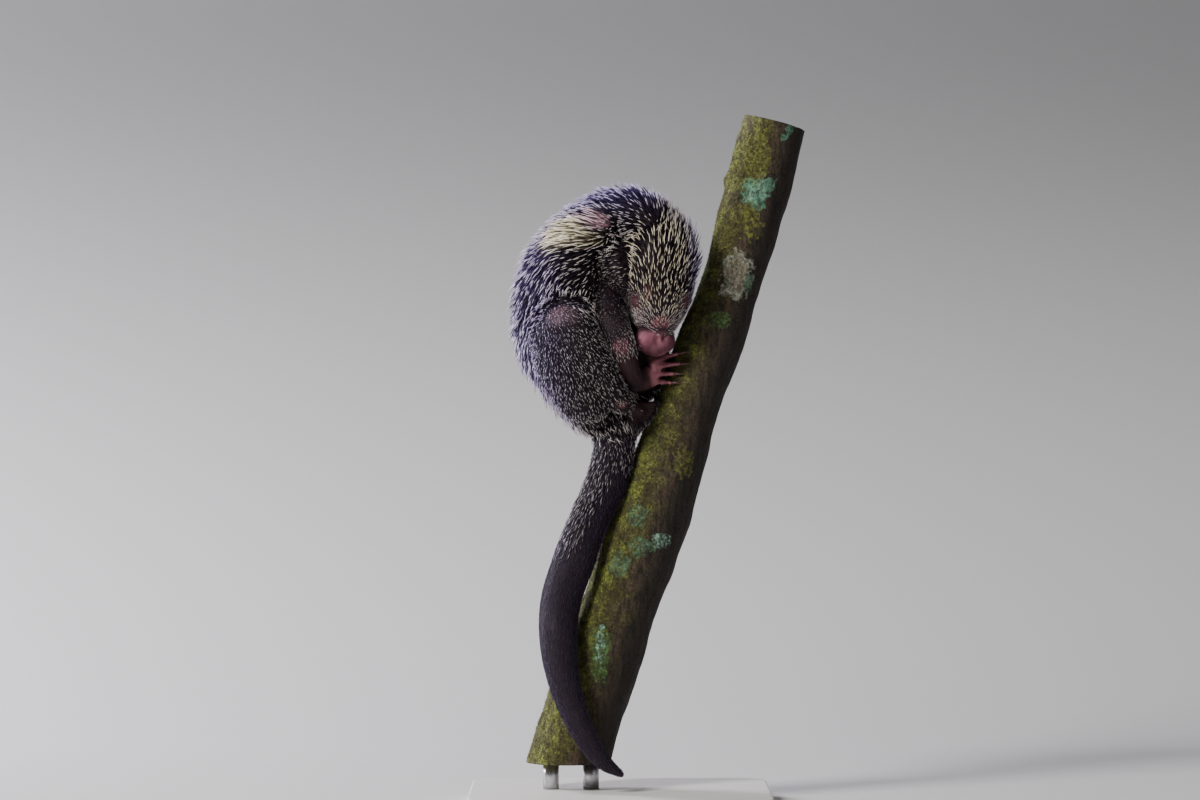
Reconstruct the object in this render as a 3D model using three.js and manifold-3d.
// Prehensile-tailed porcupine, asleep on a slanting branch, life size.
// Millimetres, +Z up. X runs to the right and Y away from a viewer who sees the
// animal's right side. The origin is the middle of the underside of the stand.

import * as THREE from 'three';
import { LoftGeometry } from 'three/addons/geometries/LoftGeometry.js';
import { mergeVertices } from 'three/addons/utils/BufferGeometryUtils.js';
import Module from 'manifold-3d';

const wasm = await Module();
wasm.setup();

// Driving sizes

const GAP = 0.3;                  // clearance between pieces that touch
const SMOOTH = 0.1;               // largest error left by clearing small facets away

const BASE = { length: 300, width: 240, height: 18, corner: 26, bevel: 2 };
const ROD = { radius: 8, spread: 40, middle: -49 };
const PERCH_FOOT = 45;            // height of the branch's level lower cut
const PERCH_SIDES = 14;

const BODY_SIDES = 20;
const LIMB_SIDES = 12;
const FINGER_RADIUS = 3.1;
const TOE_RADIUS = 3.5;
const DIGIT = { sides: 6, rings: 3 };
const DIGIT_SUNK = 0.6;
const CLAW = { radius: 1.9, sides: 5, rings: 3 };

const CORE = 0.3;                 // share of the coat's depth that the solid under it fills
const COAT = {
  trunk: [8, 9, 11, 11, 11, 11, 11, 11, 11, 10, 11],
  head: [12, 13, 9, 4, 1, 0],
  tail: [5, 5, 5, 4, 2, 1, 1, 1, 0, 0, 0],
  thigh: 6,
  shank: [2, 4, 5, 4, 2],
  arm: [4, 4, 2, 1, 0],
};

// Quills: the size of one, then what each quilled node has: the least distance between roots,
// how far a quill reaches along the coat, and whether it points to its run's start or end

const QUILL = { radius: 1.15, sides: 3, sink: 5, widest: 0.35, shortest: 8 };
const VARIED = { reach: 0.2, turn: 0.07, least: 0.85, most: 1.05 };
const SOWING = { tries: 5000, seed: 7, samples: 9, clear: 0.2 };
const QUILLED = {
  head: { spacing: 9.5, reach: 19, lie: -1 },
  neck: { spacing: 10, reach: 23, lie: -1 },
  torso: { spacing: 11.5, reach: 29, lie: -1 },
  tail_base: { spacing: 11.5, reach: 22, lie: 1 },
  thigh_right: { spacing: 9.5, reach: 19, lie: -1 },
  thigh_left: { spacing: 9.5, reach: 19, lie: -1 },
  shank_right: { spacing: 8, reach: 14, lie: 1 },
  shank_left: { spacing: 8, reach: 14, lie: 1 },
  upper_arm_right: { spacing: 11, reach: 15, lie: 1 },
  upper_arm_left: { spacing: 11, reach: 15, lie: 1 },
};
const BELLY = { turn: 180, half: 58 };      // degrees round the trunk left without quills
const FACE = { half: 48, top: 522, chin: 498, throat: 540 };

const FACE_TURN = 84;             // angle round the skull of the face's middle line
const EYE = { radius: 5.2, apart: 54, height: 503, sunk: 3.6 };
const LID = { radius: 1.7, open: 26 };
const EAR = { radius: 7.5, depth: 6.5, wall: 1.5, apart: 70, height: 549, sunk: 2.5 };
const NOSTRIL = { radius: 2.1, apart: 8.5 };
const LIP = { radius: 1.5, groove: 0.8 };

// Stations: x, y, z of the middle, half size across the side view, half size in depth

const PERCH_LINE = [
  [155, 0, 684, 31, 31],
  [135, 0, 607, 33, 33],
  [106, 0, 507, 31, 31],
  [69, 0, 407, 34, 34],
  [37, 0, 307, 38, 38],
  [2, 0, 207, 40, 40],
  [-33, 0, 107, 40, 40],
  [-62, 0, 8, 43, 43],
];
const TRUNK_LINE = [
  [-9, -13, 385, 19, 21],
  [-19, -13, 400, 27, 32],
  [-34, -12, 429, 38, 46],
  [-45, -11, 467, 51, 55],
  [-48, -10, 505, 51, 57],
  [-47, -10, 535, 43, 56],
  [-36, -10, 560, 31, 53],
  [-15, -13, 580, 26, 47],
  [7, -20, 588, 23, 40],
  [25, -30, 583, 22, 35],
  [36, -37, 572, 22, 30],
];
const NECK_START = 0.79;          // share of the trunk's length where the neck begins
const CHEST = [
  { middle: [-14, -10, 498], halves: [24, 47, 45] },
  { middle: [0, -20, 537], halves: [34, 42, 44] },
  { middle: [12, -4, 452], halves: [36, 27, 50] },
];
const SKULL_LINE = [
  [40, -39, 571, 24, 25],
  [40, -43, 553, 32, 32],
  [39, -45, 527, 31, 33],
  [37.5, -46, 507, 31, 31],
  [35.5, -46, 490, 25, 24],
  [34, -45, 478, 19, 18],
];
const JAW_LINE = [
  [38, -25, 512, 20, 12],
  [36, -28, 492, 16, 10],
  [34, -32, 475, 11, 7],
];
const NOSE_LOBE = { x: 33, y: -45, z: 465, apart: 8, across: 13, deep: 15, tall: 15 };
const TAIL_LINE = [
  [-6, -14, 384, 20, 20],
  [-5, -14, 367, 19, 19],
  [-13, -18, 327, 19, 18.5],
  [-31, -23, 287, 18.5, 18.5],
  [-46, -26, 247, 20, 19],
  [-59, -29, 207, 19.5, 19],
  [-61, -42, 167, 18, 18],
  [-55, -52, 127, 15, 15],
  [-40, -57, 87, 12, 12],
  [-20, -52, 53, 8.5, 8.5],
  [1, -38, 36, 3.2, 3.2],
];
const TAIL_CUTS = [0.33, 0.64];     // shares of the tail's length where it is divided

// The limbs of the right side; the left ones are their mirror about the body's middle plane

const MIDDLE_PLANE = -4;
const ARM_LINE = [
  [-18, -42, 512, 19, 17],
  [-10, -56, 487, 16, 14],
  [2, -61, 457, 12.5, 12],
  [7, -54, 441, 11.5, 11],
  [15, -41, 425, 9.5, 9],
];
const ELBOW = 0.66;               // share of the arm's length where the forearm begins
const PALM_LINE = [
  [13, -41, 423, 9, 8],
  [22, -37, 427, 11, 7.5],
  [30, -33, 431, 11.5, 6.5],
];
const THIGH_LINE = [
  [-33, -42, 414, 29, 28],
  [-44, -48, 440, 35, 31],
  [-56, -55, 474, 29, 27],
];
const SHANK_LINE = [
  [-54, -66, 480, 24, 22],
  [-40, -68, 460, 22, 20],
  [-23, -62, 436, 17, 16],
  [-7, -54, 414, 12.5, 12.5],
  [2, -47, 404, 10, 11],
];
const SOLE_LINE = [
  [1, -47, 404, 9, 11],
  [9, -40, 401, 8, 10],
  [17, -33, 397, 8, 10],
];

// Each digit: its knuckle as x, y, z, then its middle joint, its tip and the tip of its claw
// as places on the branch: height, degrees round from the left edge towards the viewer, lift

const FINGERS = [
  { knuckle: [36, -33, 445], joint: [450, 22, 5], tip: [453, 44, 3.6], claw: [455, 60, 1.2] },
  { knuckle: [38, -33, 440], joint: [442, 34, 5], tip: [443, 54, 3.6], claw: [443, 70, 1.2] },
  { knuckle: [38, -32, 433], joint: [433, 36, 5], tip: [433, 50, 3.6], claw: [433, 65, 1.2] },
  { knuckle: [35, -31, 425], joint: [425, 34, 5], tip: [424, 50, 3.6], claw: [424, 65, 1.2] },
];
const TOES = [
  { knuckle: [17, -37, 402], joint: [403, 40, 8], tip: [404, 27, 3.6], claw: [405, 12, 1.2] },
  { knuckle: [19, -33, 398], joint: [398, 38, 7], tip: [398, 25, 3.6], claw: [398, 10, 1.2] },
  { knuckle: [19, -29, 394], joint: [393, 35, 6], tip: [391, 21, 3.6], claw: [391, 5, 1.2] },
  { knuckle: [17, -26, 390], joint: [387, 32, 6], tip: [385, 22, 3.6], claw: [384, 7, 1.2] },
];

// Colours

const COLOURS = {
  quilled: [0x4a4248, 0.8],
  bare: [0xb9828a, 0.6],
  foot: [0x6b444a, 0.7],
  claw: [0x3a2422, 0.4],
  eye: [0x0d0a0b, 0.1],
  bristle: [0x2c2632, 0.6],
  bark: [0x6d6238, 0.95],
  board: [0xe6e2da, 0.6],
  rod: [0xb8bbc0, 0.3],
};

// From closed geometry to a solid and back

function toSolid(geometry) {
  const bare = new THREE.BufferGeometry();
  bare.setAttribute('position', geometry.getAttribute('position').clone());
  bare.setIndex(geometry.getIndex());
  const merged = mergeVertices(bare, 1e-4);
  const corners = merged.getIndex().array;
  const kept = [];
  for (let i = 0; i < corners.length; i += 3) {
    const [a, b, c] = corners.slice(i, i + 3);
    if (a !== b && b !== c && c !== a) {
      kept.push(a, b, c);
    }
  }
  return new wasm.Manifold(new wasm.Mesh({
    numProp: 3,
    vertProperties: Float32Array.from(merged.getAttribute('position').array),
    triVerts: Uint32Array.from(kept),
  }));
}

function toGeometry(solid) {
  const mesh = solid.getMesh();
  const geometry = new THREE.BufferGeometry();
  geometry.setAttribute('position', new THREE.BufferAttribute(mesh.vertProperties, 3));
  geometry.setIndex(new THREE.BufferAttribute(mesh.triVerts, 1));
  geometry.computeVertexNormals();
  return geometry;
}

function largest(solid) {
  const pieces = solid.decompose();
  return pieces.reduce((best, piece) => (piece.volume() > best.volume() ? piece : best));
}

function join(solids) {
  return wasm.Manifold.union(solids);
}

// A smooth run of elliptical rings through its stations, with round or flat ends

const DEPTH_AXIS = new THREE.Vector3(0, 1, 0);
const ROUND_STEPS = [0.5, 0.8, 0.97];
const SMALL_STEPS = [0.6, 0.95];
const SMALL_END = 8;

function ringAt(path, sizes, t) {
  const along = path.getTangent(t);
  const side = new THREE.Vector3().crossVectors(along, DEPTH_AXIS).normalize();
  const near = new THREE.Vector3().crossVectors(along, side);
  const size = sizes.getPoint(t);
  return { middle: path.getPoint(t), along, side, near, across: size.x, deep: size.y };
}

function endRings(ring, outward, bulge) {
  const reach = Math.min(ring.across, ring.deep) * bulge;
  const steps = reach > SMALL_END ? ROUND_STEPS : SMALL_STEPS;
  return steps.map((step) => ({
    ...ring,
    middle: ring.middle.clone().addScaledVector(ring.along, outward * reach * step),
    across: ring.across * Math.sqrt(1 - step * step),
    deep: ring.deep * Math.sqrt(1 - step * step),
  }));
}

class Run {
  constructor(stations, { sides, rings, start = 1, end = 1, from = 0, to = 1 }) {
    const middles = stations.map(([x, y, z]) => new THREE.Vector3(x, y, z));
    const halves = stations.map(([, , , across, deep]) => new THREE.Vector3(across, deep, 0));
    const path = new THREE.CatmullRomCurve3(middles);
    const sizes = new THREE.CatmullRomCurve3(halves, false, 'catmullrom');
    this.sides = sides;
    this.rings = [];
    for (let i = 0; i <= rings; i++) {
      const share = from + (to - from) * i / rings;
      this.rings.push(ringAt(path, sizes, path.getUtoTmapping(share)));
    }
    this.flatStart = start === 0;
    this.flatEnd = end === 0;
    const first = this.rings[0];
    const last = this.rings[rings];
    if (!this.flatStart) {
      this.rings.unshift(...endRings(first, -1, start).reverse());
    }
    if (!this.flatEnd) {
      this.rings.push(...endRings(last, 1, end));
    }
  }

  pointOn(ring, angle, grow = 0) {
    return ring.middle.clone()
      .addScaledVector(ring.side, (ring.across + grow) * Math.cos(angle))
      .addScaledVector(ring.near, (ring.deep + grow) * Math.sin(angle));
  }

  // A place on the surface, counted in rings from the start, with its angle round the run

  at(place, angle) {
    const i = THREE.MathUtils.clamp(Math.floor(place), 0, this.rings.length - 2);
    return this.pointOn(this.rings[i], angle).lerp(this.pointOn(this.rings[i + 1], angle), place - i);
  }

  solid(grow = 0) {
    const count = this.rings.length;
    const sections = this.rings.map((ring, i) => {
      const push = (i === 0 ? -grow : 0) + (i === count - 1 ? grow : 0);
      const points = [];
      for (let k = 0; k < this.sides; k++) {
        const point = this.pointOn(ring, 2 * Math.PI * k / this.sides, grow);
        points.push(point.addScaledVector(ring.along, push));
      }
      return points;
    });
    return toSolid(new LoftGeometry(sections, { capStart: true, capEnd: true }));
  }

  holds(point, margin) {
    const offset = new THREE.Vector3();
    return this.rings.some((ring, i) => {
      const next = this.rings[Math.min(i + 1, this.rings.length - 1)];
      const last = this.rings[Math.max(i - 1, 0)];
      const reach = last.middle.distanceTo(next.middle) / 2 + margin;
      offset.subVectors(point, ring.middle);
      if (Math.abs(offset.dot(ring.along)) > reach) {
        return false;
      }
      const across = offset.dot(ring.side) / (ring.across + margin);
      const deep = offset.dot(ring.near) / (ring.deep + margin);
      return across * across + deep * deep < 1;
    });
  }
}

// A run divided into lengths that meet face to face, GAP apart

function lengths(stations, cuts, { sides, rings, start = 1, end = 1 }) {
  const middles = stations.map(([x, y, z]) => new THREE.Vector3(x, y, z));
  const half = GAP / 2 / new THREE.CatmullRomCurve3(middles).getLength();
  const last = cuts.length;
  return rings.map((count, i) => new Run(stations, {
    sides,
    rings: count,
    start: i === 0 ? start : 0,
    end: i === last ? end : 0,
    from: i === 0 ? 0 : cuts[i - 1] + half,
    to: i === last ? 1 : cuts[i] - half,
  }));
}

// An ellipsoid

class Blob {
  constructor(middle, halves, sides = 12) {
    this.middle = new THREE.Vector3(...middle);
    this.halves = halves;
    this.sides = sides;
  }

  solid(grow = 0) {
    const ball = new THREE.SphereGeometry(1, this.sides, Math.round(this.sides * 0.6));
    ball.scale(...this.halves.map((half) => half + grow));
    ball.translate(this.middle.x, this.middle.y, this.middle.z);
    return toSolid(ball);
  }

  holds(point, margin) {
    const offset = new THREE.Vector3().subVectors(point, this.middle);
    const [x, y, z] = this.halves.map((half) => half + margin);
    return (offset.x / x) ** 2 + (offset.y / y) ** 2 + (offset.z / z) ** 2 < 1;
  }
}

// A turned shape set at a place, with its axis along a direction

class Turned {
  constructor(profile, filled, middle, axis, stretch, sides) {
    Object.assign(this, { profile, filled, middle, axis, stretch, sides });
  }

  solid(grow = 0) {
    const outline = grow > 0 ? this.filled(grow) : this.profile;
    const shape = new THREE.LatheGeometry(outline.map(([r, h]) => new THREE.Vector2(r, h)), this.sides);
    shape.scale(1, 1, this.stretch);
    const up = new THREE.Vector3(0, 1, 0);
    shape.applyQuaternion(new THREE.Quaternion().setFromUnitVectors(up, this.axis));
    shape.translate(this.middle.x, this.middle.y, this.middle.z);
    return toSolid(shape);
  }

  holds(point, margin) {
    return point.distanceTo(this.middle) < this.profile[2][0] * this.stretch + margin;
  }
}

function coated(stations, depth, share = CORE) {
  return stations.map(([x, y, z, across, deep], i) => {
    const more = share * (depth[i] ?? depth);
    return [x, y, z, across + more, deep + more];
  });
}

// The same run twice: the solid under the coat, and the surface that its tips reach

function pelt(stations, depth, mirror, shape) {
  const line = mirrored(stations, mirror);
  return { under: shape(coated(line, depth)), tips: shape(coated(line, depth, 1)) };
}

function mirrored(stations, mirror) {
  return stations.map(([x, y, z, ...rest]) => (
    [x, mirror > 0 ? y : 2 * MIDDLE_PLANE - y, z, ...rest]
  ));
}

// The branch, cut level at its foot and square at its head

function perch() {
  const run = new Run(PERCH_LINE, { sides: PERCH_SIDES, rings: 13, start: 0, end: 0 });
  run.rings.forEach((ring, i) => {
    const swell = 1 + 0.035 * Math.sin(i * 1.9) + 0.02 * Math.sin(i * 3.1 + 1);
    ring.across *= swell;
    ring.deep *= swell;
  });
  return run;
}

const branch = perch();
const underCut = new THREE.BoxGeometry(400, 400, 200);
underCut.translate(0, 0, PERCH_FOOT - 100);
const underFoot = toSolid(underCut);

function ringAtHeight(run, height) {
  const gap = (ring) => Math.abs(ring.middle.z - height);
  return run.rings.reduce((best, ring) => (gap(ring) < gap(best) ? ring : best));
}

// The head

const skullPelt = pelt(SKULL_LINE, COAT.head, 1, (line) => (
  new Run(line, { sides: BODY_SIDES, rings: 10, start: 0.7, end: 0.5 })
));
const skull = skullPelt.under;
const jaw = new Run(JAW_LINE, { sides: 10, rings: 4, start: 1, end: 0.8 });

function onSkull(height, apart, sunk, mirror) {
  const ring = ringAtHeight(skull, height);
  const angle = THREE.MathUtils.degToRad(FACE_TURN + mirror * apart);
  const outward = ring.side.clone().multiplyScalar(Math.cos(angle) / ring.across)
    .addScaledVector(ring.near, Math.sin(angle) / ring.deep)
    .normalize();
  const place = skull.pointOn(ring, angle).addScaledVector(outward, -sunk);
  place.z = height;
  return { place, outward };
}

function lid(eye, direction) {
  const forward = new THREE.Vector3(0, 0, -1);
  const lift = THREE.MathUtils.degToRad(90 - LID.open);
  const across = new THREE.Vector3().crossVectors(forward, eye.outward).normalize();
  const bow = across.multiplyScalar(direction * Math.cos(lift))
    .addScaledVector(eye.outward, Math.sin(lift));
  const stations = [-75, -40, 0, 40, 75].map((degrees) => {
    const turn = THREE.MathUtils.degToRad(degrees);
    const point = eye.place.clone()
      .addScaledVector(forward, EYE.radius * 1.1 * Math.sin(turn))
      .addScaledVector(bow, EYE.radius * 1.05 * Math.cos(turn));
    return [point.x, point.y, point.z, LID.radius, LID.radius];
  });
  return new Run(stations, { sides: 5, rings: 4, start: 0.8, end: 0.8 });
}

function eyeBall(mirror) {
  const seat = onSkull(EYE.height, EYE.apart, EYE.sunk, mirror);
  const { x, y, z } = seat.place;
  return { seat, form: new Blob([x, y, z], [EYE.radius, EYE.radius, EYE.radius], 9) };
}

function ear(mirror) {
  const seat = onSkull(EAR.height, EAR.apart, EAR.sunk, mirror);
  const { radius, depth, wall } = EAR;
  const bowl = [
    [0, -depth],
    [radius * 0.62, -depth * 0.75],
    [radius, 0],
    [radius - wall * 0.5, wall * 0.6],
    [radius - wall, 0],
    [radius * 0.45, -depth * 0.4],
    [0, -depth * 0.55],
  ];
  const filled = (grow) => [
    [0, -depth - grow],
    [radius * 0.62 + grow, -depth * 0.75 - grow],
    [radius + grow, 0],
    [radius + grow, wall + grow],
    [0, wall + grow],
  ];
  const axis = seat.outward.clone().add(new THREE.Vector3(0, -0.5, 0.1)).normalize();
  return new Turned(bowl, filled, seat.place, axis, 1.15, 12);
}

const eyes = { right: eyeBall(1), left: eyeBall(-1) };

function lip(offset) {
  const stations = [-70, -35, 0, 35, 70].map((degrees) => {
    const turn = THREE.MathUtils.degToRad(degrees);
    return [
      36 + 15 * Math.sin(turn),
      -35 - 4 * Math.abs(Math.sin(turn)),
      490 - 21 * Math.cos(turn) + offset,
      LIP.radius,
      LIP.radius,
    ];
  });
  return new Run(stations, { sides: 5, rings: 5, start: 0.8, end: 0.8 });
}

function nose() {
  const { x, y, z, apart, across, deep, tall } = NOSE_LOBE;
  const lobes = [-1, 1].map((side) => (
    new Blob([x + side * apart, y, z], [across, deep, tall], 12).solid()
  ));
  const holes = [-1, 1].map((side) => (
    new Blob([x + side * NOSTRIL.apart, y - 2, z - tall + 1], [NOSTRIL.radius, 3.2, 4], 8).solid()
  ));
  return join(lobes).subtract(join(holes));
}

// Hands and feet: a palm or sole with four digits, each ending in a claw

function digitRun({ knuckle, joint, tip }, radius, hold) {
  const root = knuckle.map((value, i) => THREE.MathUtils.lerp(value, hold[i], DIGIT_SUNK));
  const radii = [1, 1.15, 1, 0.85].map((share) => share * radius);
  const stations = [root, knuckle, joint, tip].map((point, i) => [...point, radii[i], radii[i]]);
  return new Run(stations, DIGIT);
}

function clawRun({ joint, tip, claw }) {
  const root = tip.map((value, i) => value + 0.1 * (joint[i] - value));
  const bend = tip.map((value, i) => value + 0.55 * (claw[i] - value));
  bend[1] += Math.sign(tip[1] - MIDDLE_PLANE);
  const stations = [
    [...root, CLAW.radius, CLAW.radius],
    [...bend, CLAW.radius * 0.75, CLAW.radius * 0.75],
    [...claw, 0.5, 0.5],
  ];
  return new Run(stations, { sides: CLAW.sides, rings: CLAW.rings, start: 0, end: 0 });
}

function onPerch([height, around, lift], mirror) {
  const ring = ringAtHeight(branch, height);
  const point = branch.pointOn(ring, Math.PI - mirror * THREE.MathUtils.degToRad(around), lift);
  point.addScaledVector(ring.along, (height - point.z) / ring.along.z);
  return point.toArray();
}

function placedDigit({ knuckle: [x, y, z], joint, tip, claw }, mirror) {
  return {
    knuckle: [x, mirror > 0 ? y : 2 * MIDDLE_PLANE - y, z],
    joint: onPerch(joint, mirror),
    tip: onPerch(tip, mirror),
    claw: onPerch(claw, mirror),
  };
}

// The forms of every node, those first whose shape is kept where two would meet

const forms = new Map();

function add(name, parts, look, tips) {
  forms.set(name, { parts: [].concat(parts), look, tips });
}

const SIDES = [['right', 1], ['left', -1]];
add('perch', branch, 'bark');
for (const [side, mirror] of SIDES) {
  FINGERS.forEach((digit, i) => {
    add(`hand_claw_${side}_${i + 1}`, clawRun(placedDigit(digit, mirror)), 'claw');
  });
  TOES.forEach((digit, i) => {
    add(`foot_claw_${side}_${i + 1}`, clawRun(placedDigit(digit, mirror)), 'claw');
  });
}
add('eye_right', eyes.right.form, 'eye');
add('eye_left', eyes.left.form, 'eye');
add('ear_right', ear(1), 'bare');
add('ear_left', ear(-1), 'bare');
{
  const { x, y, z, apart, across, deep, tall } = NOSE_LOBE;
  const lobes = [-1, 1].map((side) => new Blob([x + side * apart, y, z], [across, deep, tall], 12));
  add('nose', lobes, 'bare');
}
for (const [side, mirror] of SIDES) {
  const palmLine = mirrored(PALM_LINE, mirror);
  const soleLine = mirrored(SOLE_LINE, mirror);
  const palm = new Run(palmLine, { sides: 10, rings: 3 });
  const sole = new Run(soleLine, { sides: 10, rings: 4 });
  const digits = (list, radius, line) => (
    list.map((digit) => digitRun(placedDigit(digit, mirror), radius, line.at(-1)))
  );
  add(`hand_${side}`, [palm, ...digits(FINGERS, FINGER_RADIUS, palmLine)], 'foot');
  add(`foot_${side}`, [sole, ...digits(TOES, TOE_RADIUS, soleLine)], 'foot');
}
add('head', [skull, jaw], 'quilled', skullPelt.tips);
for (const [side, mirror] of SIDES) {
  const shank = pelt(SHANK_LINE, COAT.shank, mirror, (line) => (
    new Run(line, { sides: LIMB_SIDES, rings: 5 })
  ));
  const thigh = pelt(THIGH_LINE, COAT.thigh, mirror, (line) => (
    new Run(line, { sides: 14, rings: 4, start: 0.9, end: 0.9 })
  ));
  add(`shank_${side}`, shank.under, 'quilled', shank.tips);
  add(`thigh_${side}`, thigh.under, 'quilled', thigh.tips);
}
const tail = pelt(TAIL_LINE, COAT.tail, 1, (line) => (
  lengths(line, TAIL_CUTS, { sides: LIMB_SIDES, rings: [8, 8, 8], start: 0.6 })
));
add('tail_base', tail.under[0], 'quilled', tail.tips[0]);
add('tail_middle', tail.under[1], 'bristle');
add('tail_tip', tail.under[2], 'bristle');
const trunk = pelt(TRUNK_LINE, COAT.trunk, 1, (line) => (
  lengths(line, [NECK_START], { sides: BODY_SIDES, rings: [13, 5], start: 0.6, end: 0.5 })
));
for (const [side, mirror] of SIDES) {
  const arm = pelt(ARM_LINE, COAT.arm, mirror, (line) => (
    lengths(line, [ELBOW], { sides: LIMB_SIDES, rings: [4, 3] })
  ));
  add(`forearm_${side}`, arm.under[1], 'quilled');
  add(`upper_arm_${side}`, arm.under[0], 'quilled', arm.tips[0]);
}
add('neck', trunk.under[1], 'quilled', trunk.tips[1]);
const chest = CHEST.map(({ middle, halves }) => new Blob(middle, halves, 16));
add('torso', [trunk.under[0], ...chest], 'quilled', trunk.tips[0]);

// Quills, grown from seeded random places that keep their distance from each other

const between = (low, high) => low + (high - low) * THREE.MathUtils.seededRandom();

function quillSolid({ start, end }) {
  const { radius, sides, sink, widest } = QUILL;
  const length = start.distanceTo(end);
  const outline = [[0, -sink], [radius, widest * length], [0, length]];
  const spike = new THREE.LatheGeometry(outline.map(([r, h]) => new THREE.Vector2(r, h)), sides);
  const up = new THREE.Vector3(0, 1, 0);
  const along = new THREE.Vector3().subVectors(end, start).normalize();
  spike.applyQuaternion(new THREE.Quaternion().setFromUnitVectors(up, along));
  spike.translate(start.x, start.y, start.z);
  return toSolid(spike);
}

function bare(name, angle, root) {
  const turn = THREE.MathUtils.radToDeg(angle);
  const off = (middle) => Math.abs(THREE.MathUtils.euclideanModulo(turn - middle + 180, 360) - 180);
  if (name === 'head') {
    const face = off(FACE_TURN) < FACE.half && root.z < FACE.top;
    const throat = off(FACE_TURN + 180) < FACE.half && root.z < FACE.throat;
    return face || throat || root.z < FACE.chin;
  }
  return (name === 'torso' || name === 'neck') && off(BELLY.turn) < BELLY.half;
}

// The place that lies a distance along the coat from another, and what is missing where the run ends

function placeAlong(run, place, angle, distance) {
  const step = 0.1 * Math.sign(distance);
  const last = run.rings.length - 1;
  let here = place;
  let gone = 0;
  while (gone < Math.abs(distance) && here + step > 0 && here + step < last) {
    gone += run.at(here, angle).distanceTo(run.at(here + step, angle));
    here += step;
  }
  return { there: here, short: Math.abs(distance) - gone };
}

const grownQuills = [];

function crowded(quill, name) {
  const reach = (other) => 2 * QUILL.radius + SOWING.clear + (other.name === name ? 0 : GAP);
  return grownQuills.some((other) => quill.distanceSqToLine3(other.quill) < reach(other) ** 2);
}

function buried(quill, name) {
  const point = new THREE.Vector3();
  const sunk = -QUILL.sink / quill.distance();
  for (let i = 0; i <= SOWING.samples; i++) {
    const share = THREE.MathUtils.lerp(sunk, 1, i / SOWING.samples);
    const thick = share < 0 ? 0 : QUILL.radius;
    quill.at(share, point);
    for (const [other, { parts }] of forms) {
      const own = other === name;
      const margin = own ? 0 : thick + 2 * GAP;
      if (!(own && share < QUILL.widest) && parts.some((part) => part.holds(point, margin))) {
        return true;
      }
    }
  }
  return false;
}

function grow(name, { spacing, reach, lie }) {
  const { parts: [under], tips } = forms.get(name);
  const last = under.rings.length - 1;
  const roots = [];
  const spikes = [];
  for (let i = 0; i < SOWING.tries; i++) {
    const place = between(0, last);
    const angle = between(0, 2 * Math.PI);
    const root = under.at(place, angle);
    const distance = lie * reach * between(1 - VARIED.reach, 1 + VARIED.reach);
    const turned = angle + between(-VARIED.turn, VARIED.turn);
    const lift = between(VARIED.least, VARIED.most);
    if (bare(name, angle, root) || roots.some((other) => other.distanceTo(root) < spacing)) {
      continue;
    }
    const { there, short } = placeAlong(tips, place, angle, distance);
    const skin = under.at(there, turned);
    const end = skin.lerp(tips.at(there, turned), lift);
    end.addScaledVector(under.rings[Math.round(there)].along, lie * short);
    const quill = new THREE.Line3(root, end);
    if (quill.distance() < QUILL.shortest || crowded(quill, name) || buried(quill, name)) {
      continue;
    }
    roots.push(root);
    grownQuills.push({ name, quill });
    spikes.push(quillSolid(quill));
  }
  return spikes;
}

THREE.MathUtils.seededRandom(SOWING.seed);
const quills = new Map();
for (const [name, habit] of Object.entries(QUILLED)) {
  quills.set(name, grow(name, habit));
}

// Extra forms joined to a node before its neighbours are cut from it, and grooves cut last

function extras(name) {
  if (name === 'head') {
    const lids = [1, -1].flatMap((way) => [lid(eyes.right.seat, way), lid(eyes.left.seat, way)]);
    const lips = [lip(LIP.radius + LIP.groove / 2), lip(-LIP.radius - LIP.groove / 2)];
    return [...lids, ...lips];
  }
  return [];
}

// Lengths of one run already keep their gap, so only what is added to them is cut

const SAME_RUN = [/^tail_/, /^(neck|torso)$/, /^(forearm|upper_arm)_right$/, /^(forearm|upper_arm)_left$/];

function oneRun(a, b) {
  return SAME_RUN.some((names) => names.test(a) && names.test(b));
}

function near(boxA, boxB) {
  return [0, 1, 2].every((axis) => (
    boxA.min[axis] < boxB.max[axis] + 1 && boxB.min[axis] < boxA.max[axis] + 1
  ));
}

const model = new THREE.Group();
const grown = new Map();

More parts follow.
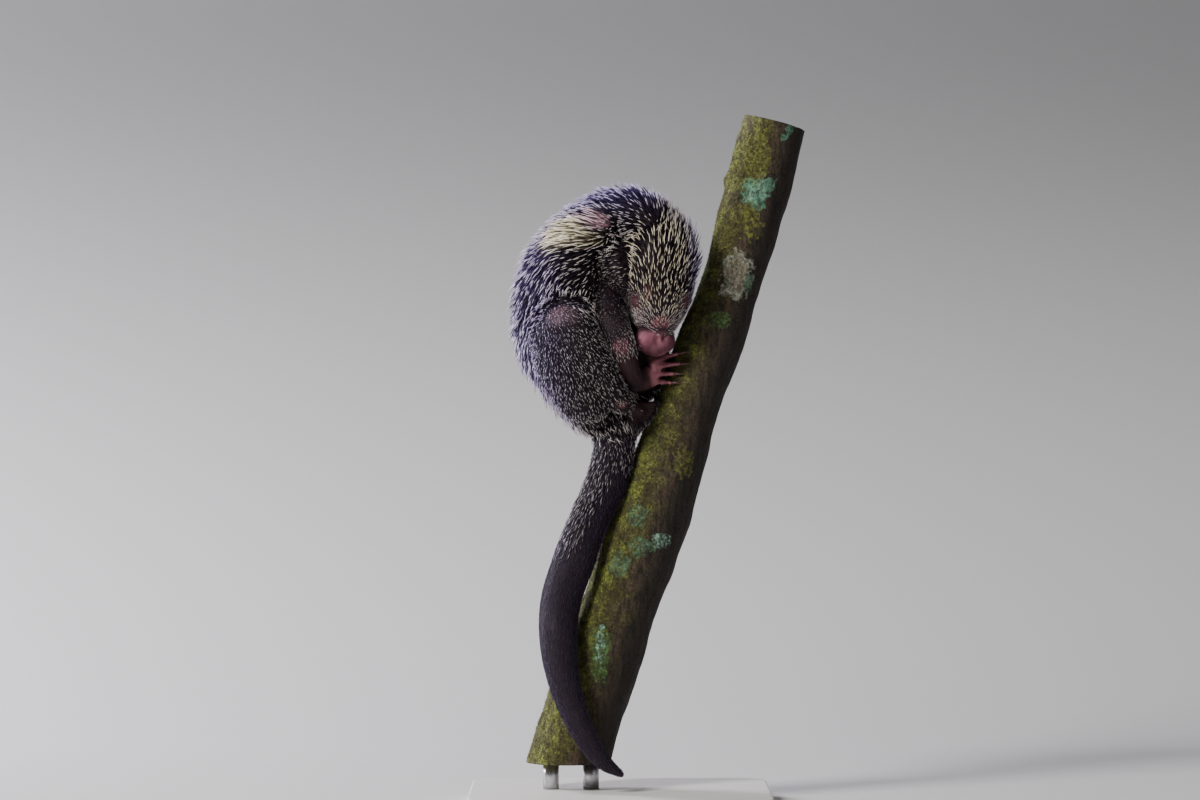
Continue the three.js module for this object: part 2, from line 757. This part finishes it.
function place(name, solid, look) {
  const [colour, roughness] = COLOURS[look];
  const material = new THREE.MeshStandardMaterial({ color: colour, roughness, metalness: 0 });
  const mesh = new THREE.Mesh(toGeometry(largest(solid.asOriginal().simplify(SMOOTH))), material);
  mesh.name = name;
  model.add(mesh);
}

for (const [name, { parts, look }] of forms) {
  const kin = [...grown.keys()].filter((other) => oneRun(name, other));
  const [main, ...added] = [...parts, ...extras(name)].map((part) => part.solid());
  const clear = added.map((piece) => kin.reduce((left, other) => left.subtract(grown.get(other)), piece));
  let solid = name === 'nose' ? nose() : join([main, ...clear, ...(quills.get(name) ?? [])]);
  if (name === 'perch') {
    solid = solid.subtract(underFoot);
  }
  const box = solid.boundingBox();
  for (const [other, shape] of grown) {
    if (!oneRun(name, other) && near(box, shape.boundingBox())) {
      solid = solid.subtract(shape);
    }
  }
  // Two shells, so that the inside of a tight bend is covered too
  grown.set(name, join(parts.flatMap((part) => [part.solid(GAP / 2), part.solid(GAP)])));
  place(name, solid, look);
}

// The stand: a flat base with round corners, and two short rods up to the branch

function standBase() {
  const { length, width, height, corner, bevel } = BASE;
  const [x, y] = [length / 2 - bevel, width / 2 - bevel];
  const outline = new THREE.Shape();
  outline.moveTo(-x + corner, -y);
  outline.absarc(x - corner, -y + corner, corner, -Math.PI / 2, 0);
  outline.absarc(x - corner, y - corner, corner, 0, Math.PI / 2);
  outline.absarc(-x + corner, y - corner, corner, Math.PI / 2, Math.PI);
  outline.absarc(-x + corner, -y + corner, corner, Math.PI, 1.5 * Math.PI);
  const board = new THREE.ExtrudeGeometry(outline, {
    depth: height - 2 * bevel,
    bevelSize: bevel,
    bevelThickness: bevel,
    bevelSegments: 1,
    curveSegments: 4,
  });
  board.translate(0, 0, bevel);
  return toSolid(board);
}

function standRod(x) {
  const foot = BASE.height + GAP;
  const tall = PERCH_FOOT - GAP - foot;
  const rod = new THREE.CylinderGeometry(ROD.radius, ROD.radius, tall, 16);
  rod.rotateX(Math.PI / 2);
  rod.translate(x, 0, foot + tall / 2);
  return toSolid(rod);
}

place('stand_base', standBase(), 'board');
place('stand_rod_1', standRod(ROD.middle - ROD.spread / 2), 'rod');
place('stand_rod_2', standRod(ROD.middle + ROD.spread / 2), 'rod');

export default model;
